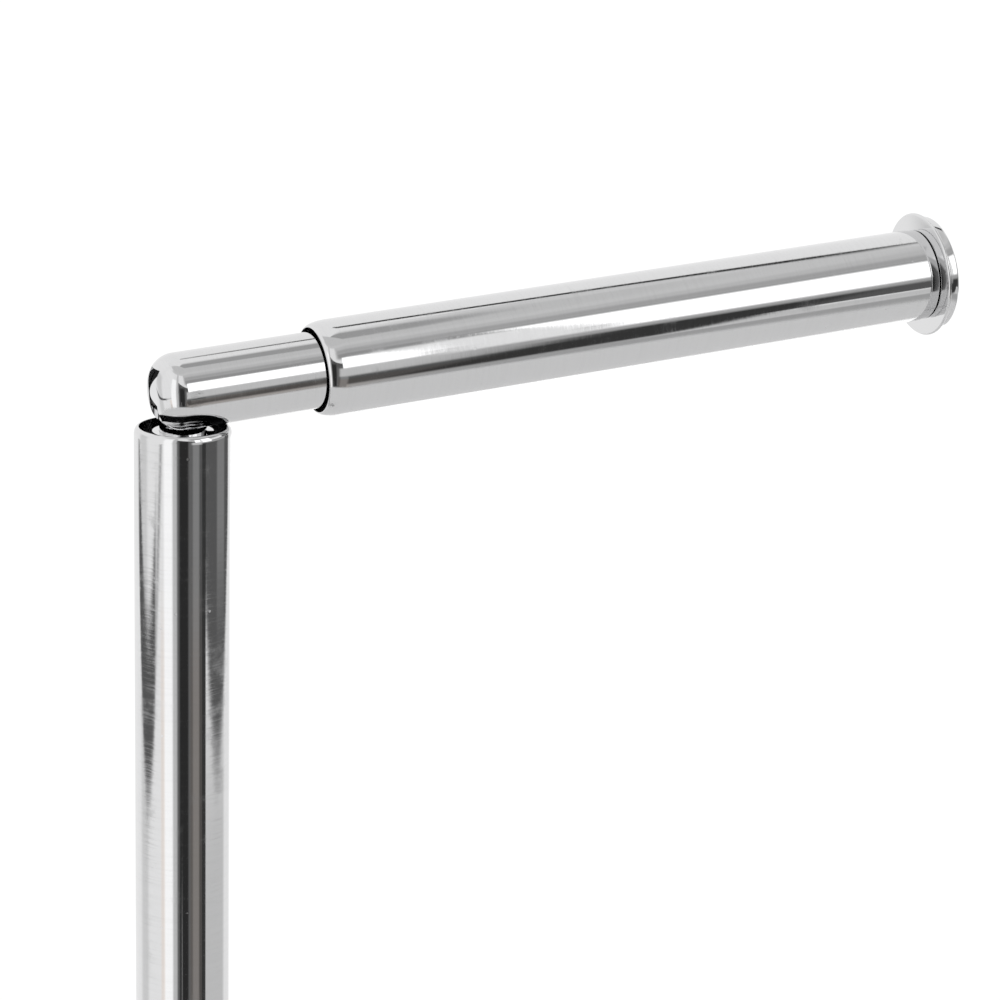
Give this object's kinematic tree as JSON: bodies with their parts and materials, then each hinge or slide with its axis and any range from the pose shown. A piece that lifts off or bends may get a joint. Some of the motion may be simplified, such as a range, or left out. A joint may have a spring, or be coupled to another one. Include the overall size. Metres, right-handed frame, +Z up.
{
  "type": "valet stand",
  "caption": "Free-standing toilet roll valet: weighted round base, slim chrome post, and a hinged arm with a turning sleeve that swings up so spare rolls slide down the post.",
  "frame": {"origin": "on the post's axis, at floor level", "axes": "+Z up along the post, arm towards +X, hinge pin along Y"},
  "size_m": [0.2578, 0.165, 0.5935],
  "materials": {
    "chrome": "polished chrome plate with fine hairlines",
    "weight_iron": "rough casting",
    "pad_rubber": "matt",
    "zinc_steel": "zinc plated",
    "black_steel": "black oxide",
    "insert_brass": "turned",
    "bush_plastic": "moulded"
  },
  "bodies": {
    "stand": {"foot_pad": "pad_rubber", "base_weight": "weight_iron", "base_shell": "chrome", "base_collar": "chrome", "base_bolt": "zinc_steel", "base_washer": "zinc_steel", "post_foot_insert": "insert_brass", "lower_tube": "chrome", "lower_joint_insert": "insert_brass", "joint_stud": "zinc_steel", "upper_joint_insert": "insert_brass", "upper_tube": "chrome", "stem_plug": "black_steel", "stem_bushing": "chrome", "stem_nut": "zinc_steel", "hinge_stem": "chrome"},
    "arm": {"arm_tube": "chrome", "arm_knuckle": "zinc_steel", "hinge_pin": "chrome", "pivot_washers": "insert_brass", "arm_end_plug": "insert_brass", "end_flange": "chrome", "end_cap": "chrome", "roller_washer": "bush_plastic"},
    "roller": {"roller_tube": "chrome", "roller_bush_near": "bush_plastic", "roller_bush_far": "bush_plastic"}
  },
  "joints": [
    {"name": "arm_fold", "type": "hinge", "parent": "stand", "child": "arm", "pos_m": [0, 0, 0.56743], "axis": [0, -1, 0], "range_deg": [0, 85.8]},
    {"name": "roller_spin", "type": "hinge", "parent": "arm", "child": "roller", "pos_m": [0.09973, 0, 0.57475], "axis": [0.9973, 0, 0.0732], "continuous": true}
  ]
}
